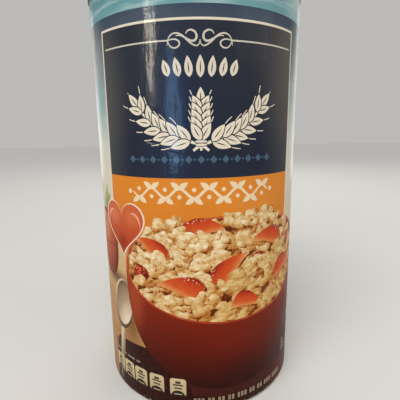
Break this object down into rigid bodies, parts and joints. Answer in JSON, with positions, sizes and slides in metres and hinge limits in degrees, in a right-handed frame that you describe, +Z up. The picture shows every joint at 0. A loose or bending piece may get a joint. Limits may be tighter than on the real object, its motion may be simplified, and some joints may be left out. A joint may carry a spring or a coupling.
{
  "type": "paperboard canister of rolled oats",
  "caption": "Shut round paperboard canister of rolled oats, with a printed paper wrap, a rolled bottom rim round a recessed end, and a pressed-on plastic lid.",
  "frame": {"origin": "centre of the rolled bottom rim, on the surface that the canister stands on", "axes": "+Z up along the tube's axis, the front of the label faces -Y, the wrap's lapped seam is at +Y"},
  "size_m": [0.13, 0.13, 0.2445],
  "materials": {
    "tube_board": "uncoated paperboard",
    "base_paper": "uncoated paperboard",
    "label_paper": "printed and varnished",
    "lid_plastic": "satin moulded"
  },
  "bodies": {
    "root": {"tube": "tube_board", "base_disc": "base_paper", "label": "label_paper", "lid": "lid_plastic"}
  },
  "joints": []
}
